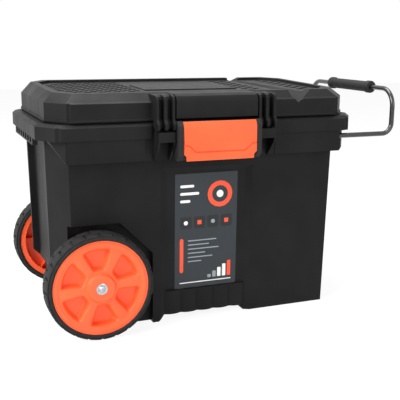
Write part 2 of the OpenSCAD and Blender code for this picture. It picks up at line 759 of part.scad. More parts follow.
// Outline of one pocket, drawn in by t
module pocket_outline(t) polygon(concat([[29 + t, -11 + t / 2], [65.5 - t, -28 + t]],
    arc(71.5 - t, 22 - t / 1.3), [[65.5 - t, 28 - t], [29 + t, 11 - t / 2]]));

module wheel_body() {
    hub_in_z = tyre_out - hub_in;
    hub_z = tyre_out - hub_out;
    face = 2;
    pocket_floor = 16;
    barrel_r = disc_r - 7;
    difference() {
        union() {
            // dished face, hub and barrel
            rotate_extrude($fn = 120) polygon([[0, hub_z], [hub_r - 3, hub_z], [hub_r, hub_z + 3],
                [hub_r + 1, face + 1.5], [barrel_r - 3.5, face + 1.5], [barrel_r, face],
                [disc_r - 3, face], [disc_r - 2.6, face + 0.8], [disc_r - 1.8, face + 0.8],
                [disc_r - 1.4, face], [disc_r, face], [disc_r, face + 5], [barrel_r, face + 6],
                [barrel_r, tyre_w - 8], [disc_r, tyre_w - 7], [disc_r, tyre_w - 3],
                [barrel_r - 3, tyre_w - 3], [barrel_r - 3, face + 5], [hub_r - 6, face + 5],
                [hub_r - 8, hub_in_z], [0, hub_in_z]]);
            // body of the pockets and the ribs behind it
            rotate_extrude($fn = 120) translate([hub_r - 8, face + 3])
                square([barrel_r - hub_r + 6, pocket_floor - face]);
            for (i = [0 : pocket_count - 1]) rotate([0, 0, (i + 0.5) * 360 / pocket_count])
                translate([hub_r - 9, -1.5, face + 3]) cube([barrel_r - hub_r + 7, 3, tyre_w - 14]);
        }
        for (i = [0 : pocket_count - 1]) rotate([0, 0, i * 360 / pocket_count]) hull() {
            translate([0, 0, face - 1]) linear_extrude(1) pocket_outline(0);
            translate([0, 0, pocket_floor - 1]) linear_extrude(1) pocket_outline(10);
        }
        translate([0, 0, -20]) cylinder(h = tyre_w + 40, d = axle_d + 2 * run_fit);
    }
}

module wheel_front() color(orange_pp) wheel_frame() rotate([0, 0, 25]) wheel_body();
module wheel_rear() color(orange_pp) rear_side() rotate([0, 0, 25]) wheel_body();

// Rear copies are the front ones mirrored across the length of the tub
module rear_side() placed() mirror([0, 1, 0]) translate([-wheel_x, -tyre_out, axle_z]) rotate([-90, 0, 0])
    children();

// Half the tread: a ring of blocks, cut to the rounded section of the tyre
module tread_row(z0, turn) translate([0, 0, z0]) rotate([0, 0, turn]) linear_extrude(tyre_w / 2 - 1.5)
    difference() {
        circle(r = tyre_r, $fn = 144);
        circle(r = tyre_r - tread_h - 1, $fn = 144);
        for (i = [0 : tread_count - 1]) rotate([0, 0, i * 360 / tread_count])
            translate([tyre_r - tread_h, -2]) square([tread_h + 2, 4]);
    }

module tyre_body() {
    seat_r = disc_r - 7 + 0.15;
    casing_r = tyre_r - tread_h;
    rotate_extrude($fn = 144) polygon([[seat_r, 8.3], [disc_r + 0.2, 7.3], [disc_r + 0.2, 1.5],
        [disc_r + 3, 0], [casing_r - 2, 1], [casing_r, 3], [casing_r, tyre_w - 3],
        [casing_r - 2, tyre_w - 1], [disc_r + 3, tyre_w], [disc_r + 0.2, tyre_w - 1.5],
        [disc_r + 0.2, tyre_w - 7.3], [seat_r, tyre_w - 8.3]]);
    intersection() {
        union() {
            tread_row(1, 0);
            tread_row(tyre_w / 2 + 0.5, 180 / tread_count);
        }
        rotate_extrude($fn = 144) polygon([[casing_r - 2, 1], [casing_r + 1, 1], [tyre_r - 1, 4],
            [tyre_r, 8], [tyre_r, tyre_w - 8], [tyre_r - 1, tyre_w - 4], [casing_r + 1, tyre_w - 1],
            [casing_r - 2, tyre_w - 1]]);
    }
}

module tyre_front() color(tyre_black) wheel_frame() tyre_body();
module tyre_rear() color(tyre_black) rear_side() tyre_body();

// Pressed cap that holds a wheel on the axle
module push_nut() {
    z1 = tyre_out - hub_out - 0.3;
    rotate_extrude() polygon([[axle_d / 2 + 0.02, z1], [10, z1], [10, z1 - 0.8], [8.5, z1 - 1.6],
        [7, z1 - 1.6], [6.5, z1 - 3], [axle_d / 2 + 0.02, z1 - 3]]);
}

module push_nut_front() color(zinc) wheel_frame() push_nut();
module push_nut_rear() color(zinc) rear_side() push_nut();

// Thin washer between the boss on the tub and the hub
module washer() translate([0, 0, tyre_out - boss_out - 0.2 - washer_t]) difference() {
    cylinder(h = washer_t, d = axle_d + 14);
    translate([0, 0, -1]) cylinder(h = washer_t + 2, d = axle_d + 2 * run_fit);
}

module washer_front() color(zinc) wheel_frame() washer();
module washer_rear() color(zinc) rear_side() washer();

module label() color(label_slate) placed() front_face()
    translate([-label_w / 2, recess_depth - label_t, recess_top - recess_slope - label_h - 2])
        cube([label_w, label_t, label_h]);

tub();
bracket_left();
bracket_right();
lid();
hinge_pin_left();
hinge_pin_right();
latch_frame();
latch_cover();
latch_pin();
handle_rod();
handle_grip();
rod_stop_front();
rod_stop_rear();
rod_guide_front();
rod_guide_rear();
axle();
wheel_front();
wheel_rear();
tyre_front();
tyre_rear();
push_nut_front();
push_nut_rear();
washer_front();
washer_rear();
label();
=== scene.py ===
"""Wheeled toolbox: camera, light, finishes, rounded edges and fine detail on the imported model."""

import math

import bmesh
import bpy
from mathutils import Matrix, Vector
from mathutils.bvhtree import BVHTree


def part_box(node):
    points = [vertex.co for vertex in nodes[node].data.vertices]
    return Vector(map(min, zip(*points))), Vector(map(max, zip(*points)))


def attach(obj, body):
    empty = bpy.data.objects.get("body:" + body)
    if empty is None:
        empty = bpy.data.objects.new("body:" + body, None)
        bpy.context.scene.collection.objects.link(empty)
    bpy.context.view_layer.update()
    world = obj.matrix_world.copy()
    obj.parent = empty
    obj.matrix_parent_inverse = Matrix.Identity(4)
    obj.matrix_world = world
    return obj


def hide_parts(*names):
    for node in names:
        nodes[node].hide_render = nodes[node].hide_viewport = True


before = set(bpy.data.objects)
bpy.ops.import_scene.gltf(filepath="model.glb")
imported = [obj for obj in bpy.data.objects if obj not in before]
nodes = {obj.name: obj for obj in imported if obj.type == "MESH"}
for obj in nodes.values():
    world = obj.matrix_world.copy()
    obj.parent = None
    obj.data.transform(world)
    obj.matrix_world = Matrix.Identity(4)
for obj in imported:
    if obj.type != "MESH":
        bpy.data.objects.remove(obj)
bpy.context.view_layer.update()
scene = bpy.context.scene

MM = 0.001

# Places taken from the frame, in metres
front_tyre_low, front_tyre_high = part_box("tyre_front")
rear_tyre_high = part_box("tyre_rear")[1]
wheel_low, wheel_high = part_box("wheel_front")
tub_low, tub_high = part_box("tub")
grip_low, grip_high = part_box("handle_grip")
label_low, label_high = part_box("label")

mid_x = (tub_low.x + tub_high.x) / 2
mid_y = (front_tyre_low.y + rear_tyre_high.y) / 2
axle_x = (front_tyre_low.x + front_tyre_high.x) / 2
axle_z = (front_tyre_low.z + front_tyre_high.z) / 2


# Camera: where the photographer stood, 1.57 m from the box and looking slightly down
CAMERA_PLACE = Vector((-0.56145, -1.3857, 0.5213))
CAMERA_YAW = math.radians(22.0)
CAMERA_PITCH = math.radians(-12.4)
CAMERA_ROLL = math.radians(0.5)
FOCAL_LENGTH = 67.42
SENSOR_WIDTH = 36.0
FRAME_PIXELS = 400
PRINCIPAL_POINT = (200.9, 200.1)


def add_camera():
    data = bpy.data.cameras.new("camera")
    data.lens = FOCAL_LENGTH
    data.sensor_width = SENSOR_WIDTH
    data.shift_x = (FRAME_PIXELS / 2 - PRINCIPAL_POINT[0]) / FRAME_PIXELS
    data.shift_y = (PRINCIPAL_POINT[1] - FRAME_PIXELS / 2) / FRAME_PIXELS
    data.clip_end = 50
    forward = Vector((
        math.sin(CAMERA_YAW) * math.cos(CAMERA_PITCH),
        math.cos(CAMERA_YAW) * math.cos(CAMERA_PITCH),
        math.sin(CAMERA_PITCH),
    ))
    right = Vector((math.cos(CAMERA_YAW), -math.sin(CAMERA_YAW), 0))
    up = right.cross(forward)
    rolled_right = right * math.cos(CAMERA_ROLL) + up * math.sin(CAMERA_ROLL)
    rolled_up = up * math.cos(CAMERA_ROLL) - right * math.sin(CAMERA_ROLL)
    camera = bpy.data.objects.new("camera", data)
    scene.collection.objects.link(camera)
    turn = Matrix((rolled_right, rolled_up, -forward)).transposed()
    camera.matrix_world = Matrix.Translation(CAMERA_PLACE) @ turn.to_4x4()
    scene.camera = camera


add_camera()


# Colours and shader nodes

def srgb(code):
    """Linear RGBA of an sRGB hex colour."""
    values = [int(code[i:i + 2], 16) / 255 for i in (1, 3, 5)]
    linear = [v / 12.92 if v <= 0.04045 else ((v + 0.055) / 1.055) ** 2.4 for v in values]
    return (*linear, 1)


def per_mm(size):
    """Scale of a pattern on object coordinates whose features are this many millimetres."""
    return 1 / (size * MM)


def add_node(tree, kind, inputs=None, **settings):
    """Adds a node, sets its properties, then its inputs: a value, or the socket to link."""
    node = tree.nodes.new(kind)
    for name, value in settings.items():
        setattr(node, name, value)
    for key, value in (inputs or {}).items():
        if isinstance(value, bpy.types.NodeSocket):
            tree.links.new(value, node.inputs[key])
        else:
            node.inputs[key].default_value = value
    return node


def new_material(name):
    material = bpy.data.materials.new(name)
    material.use_nodes = True
    tree = material.node_tree
    tree.nodes.clear()
    return material, tree


def finish_material(tree, shader):
    add_node(tree, "ShaderNodeOutputMaterial", {"Surface": shader.outputs["BSDF"]})


def object_place(tree, stretch=(1, 1, 1)):
    """Object coordinates, optionally stretched."""
    place = add_node(tree, "ShaderNodeTexCoord")
    return add_node(tree, "ShaderNodeMapping", {
        "Vector": place.outputs["Object"], "Scale": stretch,
    }).outputs[0]


def blotches(tree, size, detail=2.0, stretch=(1, 1, 1)):
    """Soft random variation with features of this many millimetres."""
    return add_node(tree, "ShaderNodeTexNoise", {
        "Vector": object_place(tree, stretch), "Scale": per_mm(size), "Detail": detail,
    }).outputs["Fac"]


def spread(tree, value, low, high, start=0.3, end=0.7):
    """Maps a noise value to a range."""
    return add_node(tree, "ShaderNodeMapRange", {
        "Value": value, "From Min": start, "From Max": end, "To Min": low, "To Max": high,
    }).outputs["Result"]


def blend_colours(tree, factor, first, second):
    # The colour sockets of a mix node share their names with its number sockets, so go by place
    node = add_node(tree, "ShaderNodeMix", {"Factor": factor}, data_type="RGBA")
    for socket, value in ((node.inputs[6], first), (node.inputs[7], second)):
        if isinstance(value, bpy.types.NodeSocket):
            tree.links.new(value, socket)
        else:
            socket.default_value = value
    return node.outputs[2]


def relief(tree, height, depth, strength=1.0, under=None):
    """Bump of this many millimetres, over another one if given."""
    inputs = {"Height": height, "Distance": depth * MM, "Strength": strength}
    if under is not None:
        inputs["Normal"] = under
    return add_node(tree, "ShaderNodeBump", inputs).outputs["Normal"]


# Moulded polypropylene: a fine spark-eroded grain, so a broad soft sheen without mirror highlights
def moulded_plastic(name, dark, light, grain, roughness, specular, grain_depth=0.12):
    material, tree = new_material(name)
    cloud = blotches(tree, 70, 3)
    flow = blotches(tree, 26, 2, (1, 1, 0.12))
    speck = blotches(tree, grain, 2)
    colour = blend_colours(tree, spread(tree, cloud, 0, 1), srgb(dark), srgb(light))
    rough = add_node(tree, "ShaderNodeMath", {
        0: spread(tree, flow, roughness - 0.05, roughness + 0.05),
        1: spread(tree, speck, -0.03, 0.03),
    }, operation="ADD")
    shader = add_node(tree, "ShaderNodeBsdfPrincipled", {
        "Base Color": colour,
        "Roughness": rough.outputs[0],
        "Specular IOR Level": specular,
        "Normal": relief(tree, speck, grain_depth),
    })
    finish_material(tree, shader)
    return material


# Soft tyre rubber: matt, with a thin uneven bloom of dust
def tyre_rubber():
    material, tree = new_material("tyre_rubber")
    dust = blotches(tree, 9, 4)
    pores = blotches(tree, 1.4, 2)
    dusty = spread(tree, dust, 0, 1, 0.35, 0.75)
    shader = add_node(tree, "ShaderNodeBsdfPrincipled", {
        "Base Color": blend_colours(tree, dusty, srgb("#1a1a1a"), srgb("#292929")),
        "Roughness": spread(tree, dust, 0.62, 0.78),
        "Specular IOR Level": 0.22,
        "Normal": relief(tree, pores, 0.2, 1, relief(tree, dust, 0.3)),
    })
    finish_material(tree, shader)
    return material


# Baked enamel on steel rod: deep black under a smooth clear film with a slight orange peel
def black_enamel():
    material, tree = new_material("black_enamel")
    peel = blotches(tree, 5, 1)
    mottled = spread(tree, peel, 0, 1)
    shader = add_node(tree, "ShaderNodeBsdfPrincipled", {
        "Base Color": blend_colours(tree, mottled, srgb("#0d0d0e"), srgb("#161617")),
        "Roughness": spread(tree, peel, 0.24, 0.34),
        "Normal": relief(tree, peel, 0.06),
    })
    shader.inputs["Coat Weight"].default_value = 0.6
    shader.inputs["Coat Roughness"].default_value = 0.12
    finish_material(tree, shader)
    return material


# Bright zinc plate: a turned metal surface with fine lines and small tarnished patches
def zinc_plate():
    material, tree = new_material("zinc_plate")
    lines = blotches(tree, 0.8, 2, (1, 0.1, 1))
    tarnish = blotches(tree, 4, 3)
    patchy = spread(tree, tarnish, 0, 1)
    shader = add_node(tree, "ShaderNodeBsdfPrincipled", {
        "Base Color": blend_colours(tree, patchy, srgb("#cfd2d4"), srgb("#a9adb0")),
        "Metallic": 1.0,
        "Roughness": spread(tree, tarnish, 0.2, 0.38),
        "Normal": relief(tree, lines, 0.05),
    })
    finish_material(tree, shader)
    return material


# Printed polyester film: smooth, slightly glossy, with a faint waviness from the wall under it
def label_film(name, code):
    material, tree = new_material(name)
    wave = blotches(tree, 22, 1)
    grain = blotches(tree, 1.5, 1)
    tint = add_node(tree, "ShaderNodeHueSaturation", {
        "Color": srgb(code), "Value": spread(tree, grain, 0.96, 1.04),
    })
    shader = add_node(tree, "ShaderNodeBsdfPrincipled", {
        "Base Color": tint.outputs[0],
        "Roughness": spread(tree, wave, 0.32, 0.42),
        "Specular IOR Level": 0.4,
        "Normal": relief(tree, wave, 0.15),
    })
    finish_material(tree, shader)
    return material


black_plastic = moulded_plastic("black_polypropylene", "#0f0f0f", "#171717", 1.3, 0.5, 0.16)
grey_plastic = moulded_plastic("dark_grey_polypropylene", "#1e1e1e", "#262626", 1.3, 0.48, 0.22)
orange_plastic = moulded_plastic(
    "orange_polypropylene", "#f4592c", "#fb6234", 1.5, 0.42, 0.35, grain_depth=0.08)
grip_plastic = moulded_plastic("soft_black_sleeve", "#161616", "#1d1d1d", 1.0, 0.62, 0.3)
rubber = tyre_rubber()
enamel = black_enamel()
zinc = zinc_plate()
film_slate = label_film("slate_film", "#262d32")
film_orange = label_film("orange_ink", "#f0512f")
film_white = label_film("white_ink", "#e9e9e7")
film_grey = label_film("grey_ink", "#8d9498")
film_dark = label_film("dark_ink", "#181c1f")


# Mesh helpers

def add_object(name, mesh, materials):
    obj = bpy.data.objects.new(name, mesh)
    scene.collection.objects.link(obj)
    mesh.materials.clear()
    for material in materials:
        mesh.materials.append(material)
    return obj


def apply_modifiers(obj):
    """Turns the evaluated object into a plain mesh and removes its modifiers."""
    graph = bpy.context.evaluated_depsgraph_get()
    mesh = bpy.data.meshes.new_from_object(obj.evaluated_get(graph))
    obj.modifiers.clear()
    obj.data = mesh
    return obj


# Edges that turn by more than this stay sharp in the shading, in degrees
SHELL_SMOOTH = 35
WHEEL_SMOOTH = 42
GRIP_SMOOTH = 40
BAR_SMOOTH = 50


def smooth_by_angle(mesh, degrees):
    mesh.shade_smooth()
    mesh.set_sharp_from_angle(angle=math.radians(degrees))


def ring_faces(rings, steps):
    """Quads of a closed skin over rings of points, the last one joined to the first."""
    faces = []
    for j in range(rings):
        for i in range(steps):
            k = (i + 1) % steps
            n = (j + 1) % rings
            faces.append((j * steps + i, n * steps + i, n * steps + k, j * steps + k))
    return faces


WELD = 0.00001
FLAT_ANGLE = math.radians(0.1)
BEVEL_ANGLE = 30
BEVEL_SEGMENTS = 2
# Share of the radius of a rounded edge that a point may lie off the node's own surface
STRAY_SHARE = 0.6


def raw_shape(node):
    """Points and polygons of a CAD node."""
    source = nodes[node].data
    return [v.co for v in source.vertices], [p.vertices[:] for p in source.polygons]


def clean_copy(node):
    """Mesh of a node with its doubles merged and each flat face in few triangles.

    A flat face isn't left in one piece: where it has a hole, rounding its edges closes the hole.
    """
    points, polygons = raw_shape(node)
    mesh = bpy.data.meshes.new(node + "_shell")
    mesh.from_pydata(points, [], polygons)
    shape = bmesh.new()
    shape.from_mesh(mesh)
    bmesh.ops.remove_doubles(shape, verts=shape.verts, dist=WELD)
    bmesh.ops.dissolve_limit(shape, angle_limit=FLAT_ANGLE, verts=shape.verts, edges=shape.edges)
    bmesh.ops.triangulate(shape, faces=shape.faces)
    shape.to_mesh(mesh)
    shape.free()
    return mesh


def keep_on_surface(mesh, node, reach):
    """Puts back points that a rounded edge threw further than this from the node's own surface."""
    surface = BVHTree.FromPolygons(*raw_shape(node))
    for vertex in mesh.vertices:
        place, _, _, distance = surface.find_nearest(vertex.co)
        if distance > reach:
            vertex.co = place


def soften(node, body, material, radius):
    """Stands for a node with a copy whose edges are rounded by this many millimetres."""
    obj = add_object(node + "_moulded", clean_copy(node), [material])
    bevel = obj.modifiers.new("edges", "BEVEL")
    bevel.width = radius * MM
    bevel.segments = BEVEL_SEGMENTS
    bevel.limit_method = "ANGLE"
    bevel.angle_limit = math.radians(BEVEL_ANGLE)
    bevel.use_clamp_overlap = False
    bevel.miter_outer = "MITER_ARC"
    apply_modifiers(obj)
    keep_on_surface(obj.data, node, radius * STRAY_SHARE * MM)
    smooth_by_angle(obj.data, SHELL_SMOOTH)
    even = obj.modifiers.new("even_shading", "WEIGHTED_NORMAL")
    even.mode = "FACE_AREA"
    even.keep_sharp = True
    apply_modifiers(obj)
    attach(obj, body)
    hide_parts(node)


def dress(names, material):
    """Gives CAD nodes that are shown as they are a material."""
    for name in names:
        data = nodes[name].data
        data.materials.clear()
        data.materials.append(material)
        smooth_by_angle(data, SHELL_SMOOTH)


# Moulded shells: tub, lid, latch and small blocks

soften("tub", "tub_body", black_plastic, 0.5)
soften("lid", "lid_body", black_plastic, 0.5)
for side in ("left", "right"):
    soften("bracket_" + side, "tub_body", black_plastic, 0.5)
soften("latch_frame", "latch", grey_plastic, 0.5)
soften("latch_cover", "latch", orange_plastic, 0.8)
for side in ("front", "rear"):
    soften("rod_guide_" + side, "tub_body", grey_plastic, 0.6)
    soften("rod_stop_" + side, "handle", grey_plastic, 0.6)
    soften("tyre_" + side, side + "_wheel", rubber, 0.5)

dress(["handle_rod"], enamel)
dress(["axle", "latch_pin", "hinge_pin_left", "hinge_pin_right", "push_nut_front", "push_nut_rear",
       "washer_front", "washer_rear"], zinc)


# Wheels: one smooth moulding each, made as heights over a ring of angles

WHEEL_TURN = math.radians(25)
POCKETS = 6
ANGLE_STEPS = 240
DISC_R = 84.3
BARREL_R = 77.3
BARREL_WALL = 3.0
HUB_R = 25.0
BORE_R = 5.05
FACE_DEPTH = 3.5
BODY_BACK = 19.0
POCKET_DEPTH = 12.5
POCKET_IN = 29.0
POCKET_OUT = 71.5
POCKET_HALF_IN = 11.0
POCKET_HALF_OUT = 30.0
POCKET_SLOPE = 7.5
POCKET_CORNER = 1.6
RIM_RISE = 1.7
GROOVE_DEPTH = 0.9
GROOVE_IN = 2.4
GROOVE_WIDTH = 0.55
SPOKE_RISE = 1.2
SPOKE_WIDTH = 9
RIB_HALF = 1.6
RIB_DEPTH = 33.0
HUB_STEP_IN = 8
HUB_STEP_OUT = 6.5
HUB_STEP_SLOPE = 12
BACK_SINK = 3
tyre_width = (front_tyre_high.y - front_tyre_low.y) / MM
hub_proud = (front_tyre_low.y - wheel_low.y) / MM
hub_back = (wheel_high.y - front_tyre_low.y) / MM


def ease(value, start, end):
    """Smooth step from 0 at start to 1 at end."""
    t = min(max((value - start) / (end - start), 0), 1)
    return t * t * (3 - 2 * t)


def soft_min(values, width):
    """Smallest of some values, rounded where two are close."""
    low = min(values)
    total = sum(math.exp((low - v) / width) for v in values)
    return low - width * math.log(total)


def off_spoke(radius, angle):
    """Distance from the middle line of the nearest spoke, along the ring."""
    pitch = 2 * math.pi / POCKETS
    return abs((angle % pitch) - pitch / 2) * radius


def pocket_sink(radius, angle):
    """How far a pocket sinks the face here, from 0 to POCKET_DEPTH."""
    pitch = 2 * math.pi / POCKETS
    local = (angle + pitch / 2) % pitch - pitch / 2
    along = radius * math.cos(local)
    across = abs(radius * math.sin(local))
    share = (along - POCKET_IN) / (POCKET_OUT - POCKET_IN)
    half = POCKET_HALF_IN + share * (POCKET_HALF_OUT - POCKET_HALF_IN)
    inside = soft_min([half - across, along - POCKET_IN, POCKET_OUT - radius], POCKET_CORNER)
    return POCKET_DEPTH * ease(inside, 0, POCKET_SLOPE)


def face_depth(radius, angle):
    """Depth of the outer surface below the side of the tyre."""
    hub = 1 - ease(radius, HUB_R - 2.5, HUB_R + 1.5)
    rim = ease(radius, BARREL_R - 5, BARREL_R + 1)
    groove = GROOVE_DEPTH * math.exp(-((radius - (DISC_R - GROOVE_IN)) / GROOVE_WIDTH) ** 2)
    depth = FACE_DEPTH - hub * (FACE_DEPTH + hub_proud) - rim * RIM_RISE + groove
    spoke = SPOKE_RISE * ease(radius, HUB_R, 40) * (1 - ease(radius, 60, BARREL_R - 3))
    depth -= spoke * math.exp(-(off_spoke(radius, angle) / SPOKE_WIDTH) ** 2)
    return depth + pocket_sink(radius, angle)


def back_depth(radius, angle):
    """Depth of the inner surface: the back of the pocket ring, with a rib behind each spoke."""
    rib = 1 - ease(off_spoke(radius, angle), RIB_HALF - 0.6, RIB_HALF + 0.6)
    if radius < HUB_R - HUB_STEP_IN:
        return hub_back
    if radius < HUB_R - HUB_STEP_OUT:
        return max(BODY_BACK, hub_back - (radius - (HUB_R - HUB_STEP_IN)) * HUB_STEP_SLOPE)
    if radius > BARREL_R - BARREL_WALL - 0.1:
        return tyre_width - BACK_SINK
    return max(BODY_BACK, rib * RIB_DEPTH)


def ring_radii(stops):
    """Radii from a list of (start, end, step)."""
    values = []
    for start, end, step in stops:
        count = max(1, round((end - start) / step))
        values += [start + (end - start) * i / count for i in range(count)]
    return values + [stops[-1][1]]


def wheel_mesh(name):
    """Closed moulding, in a local frame where Z is the depth below the side of the tyre."""
    front = ring_radii([
        (BORE_R, HUB_R - 3, 4), (HUB_R - 3, POCKET_IN - 2, 0.8), (POCKET_IN - 2, 40, 1.0),
        (40, 62, 1.6), (62, BARREL_R + 1, 0.9), (BARREL_R + 1, DISC_R - 0.6, 0.5),
    ])
    rows = [(r, None) for r in front]
    # outer lip, the barrel that the tyre sits on, and inner lip
    rows += [(DISC_R - 0.15, FACE_DEPTH - 1.5), (DISC_R, FACE_DEPTH - 0.9)]
    rows += [(DISC_R, FACE_DEPTH + 3), (BARREL_R, FACE_DEPTH + 5)]
    rows += [(BARREL_R, tyre_width - 8), (DISC_R, tyre_width - 7)]
    rows += [(DISC_R, tyre_width - 3.6), (DISC_R - 0.6, tyre_width - BACK_SINK)]
    back = ring_radii([
        (BORE_R, HUB_R - HUB_STEP_IN, 4), (HUB_R - HUB_STEP_IN, HUB_R - 6, 0.5),
        (HUB_R - 6, 60, 2.4), (60, BARREL_R - BARREL_WALL - 0.2, 1.8),
        (BARREL_R - BARREL_WALL, DISC_R - 1, 2.5),
    ])
    rows += [(r, "back") for r in reversed(back)]
    vertices = []
    for radius, depth in rows:
        for i in range(ANGLE_STEPS):
            angle = 2 * math.pi * i / ANGLE_STEPS
            if depth is None:
                z = face_depth(radius, angle)
            elif depth == "back":
                z = back_depth(radius, angle)
            else:
                z = depth
            x = radius * math.cos(angle)
            y = radius * math.sin(angle)
            vertices.append((x * MM, y * MM, z * MM))
    mesh = bpy.data.meshes.new(name)
    mesh.from_pydata(vertices, [], ring_faces(len(rows), ANGLE_STEPS))
    return mesh


def recalculate(mesh):
    shape = bmesh.new()
    shape.from_mesh(mesh)
    bmesh.ops.recalc_face_normals(shape, faces=shape.faces)
    shape.to_mesh(mesh)
    shape.free()


def add_wheel(side):
    mesh = wheel_mesh("wheel_" + side)
    outer_y = front_tyre_low.y if side == "front" else rear_tyre_high.y
    quarter = math.radians(-90 if side == "front" else 90)
    place = Matrix.Translation((axle_x, outer_y, axle_z)) @ Matrix.Rotation(quarter, 4, "X")
    mesh.transform(place @ Matrix.Rotation(WHEEL_TURN, 4, "Z"))
    recalculate(mesh)
    obj = add_object("spoked_wheel_" + side, mesh, [orange_plastic])
    smooth_by_angle(mesh, WHEEL_SMOOTH)
    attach(obj, side + "_wheel")
    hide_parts("wheel_" + side)


add_wheel("front")
add_wheel("rear")


# Handle grip: a turned sleeve with collars and fine ridges

GRIP_STEPS = 48
GRIP_RIDGE = 0.45
GRIP_RIDGE_PITCH = 4.2
RIDGE_STEPS = 6
ROD_R = 4.75
GRIP_PLAY = 0.05
COLLAR_LENGTH = 15.0
COLLAR_RISE = 1.7


def add_grip():
    length = (grip_high.y - grip_low.y) / MM
    collar_r = (grip_high.z - grip_low.z) / 2 / MM
    sleeve_r = collar_r - COLLAR_RISE
    bore_r = ROD_R + GRIP_PLAY
    profile = [(bore_r, 0), (sleeve_r - 1.2, 0), (sleeve_r + 0.4, 0.5)]
    profile += [(collar_r - 0.3, 1.6), (collar_r, 2.6), (collar_r, COLLAR_LENGTH - 2.6)]
    profile += [(collar_r - 0.3, COLLAR_LENGTH - 1.4), (sleeve_r - 0.4, COLLAR_LENGTH)]
    ridges = int((length / 2 - COLLAR_LENGTH - 2) / GRIP_RIDGE_PITCH)
    for i in range(ridges * RIDGE_STEPS):
        along = COLLAR_LENGTH + 1.5 + i * GRIP_RIDGE_PITCH / RIDGE_STEPS
        wave = abs(math.sin(math.pi * i / RIDGE_STEPS))
        profile.append((sleeve_r - GRIP_RIDGE + GRIP_RIDGE * wave, along))
    profile.append((sleeve_r - GRIP_RIDGE, length / 2))
    profile += [(r, length - z) for r, z in reversed(profile[:-1])]
    vertices = []
    for radius, along in profile:
        for i in range(GRIP_STEPS):
            angle = 2 * math.pi * i / GRIP_STEPS
            x = radius * math.cos(angle)
            z = radius * math.sin(angle)
            vertices.append((x * MM, along * MM, z * MM))
    mesh = bpy.data.meshes.new("grip_sleeve")
    mesh.from_pydata(vertices, [], ring_faces(len(profile), GRIP_STEPS))
    middle = (grip_low + grip_high) / 2
    mesh.transform(Matrix.Translation((middle.x, grip_low.y, middle.z)))
    recalculate(mesh)
    obj = add_object("grip_sleeve", mesh, [grip_plastic])
    smooth_by_angle(mesh, GRIP_SMOOTH)
    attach(obj, "handle")
    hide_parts("handle_grip")


add_grip()


# Anti-slip field: short raised dashes in staggered rows, on the sunken top of the lid

TOP_HALF_LENGTH = 260.5
TOP_HALF_WIDTH = 130.8
TOP_CORNER_LENGTH = 28.0
TOP_CORNER_WIDTH = 36.0
TOP_SINK = 5.0
TOP_RISE = 7.0
TOP_MARGIN = 6.0
PAD_HALF = 92.0
VEE_LEFT = 151.0
VEE_RIGHT = 209.0
LID_TOP = 424.1
CROWN_HALF_WIDTH = 142.8
BAR_PITCH = 13.5
BAR_LENGTH = 12.5
BAR_WIDTH = 5.0
BAR_HEIGHT = 1.2
BAR_ROOT = 0.4
BAR_END_STEPS = 5
CORNER_KEEP = 1.35


def raised_bar():
    """Low bar with rounded ends and sloping sides, centred on its foot."""
    radius = BAR_WIDTH / 2
    straight = BAR_LENGTH / 2 - radius
    turn = 180 / (BAR_END_STEPS - 1)
    outline = []
    for end, start in ((1, -90), (-1, 90)):
        for i in range(BAR_END_STEPS):
            angle = math.radians(start + turn * i)
            outline.append((end * straight + radius * math.cos(angle), radius * math.sin(angle)))
    # share of the outline, and height, of each layer
    layers = [(1.0, -BAR_ROOT), (0.98, BAR_HEIGHT * 0.75), (0.86, BAR_HEIGHT)]
    vertices = []
    for scale, height in layers:
        for x, y in outline:
            centre = math.copysign(straight, x)
            run = centre + (x - centre) * scale
            vertices.append((run * MM, y * scale * MM, height * MM))
    count = len(outline)
    faces = [tuple(range(2 * count, 3 * count)), tuple(reversed(range(count)))]
    for j in range(2):
        for i in range(count):
            k = (i + 1) % count
            faces.append((j * count + i, j * count + k, (j + 1) * count + k, (j + 1) * count + i))
    mesh = bpy.data.meshes.new("raised_bar")
    mesh.from_pydata(vertices, [], faces)
    return add_object("raised_bar", mesh, [black_plastic])


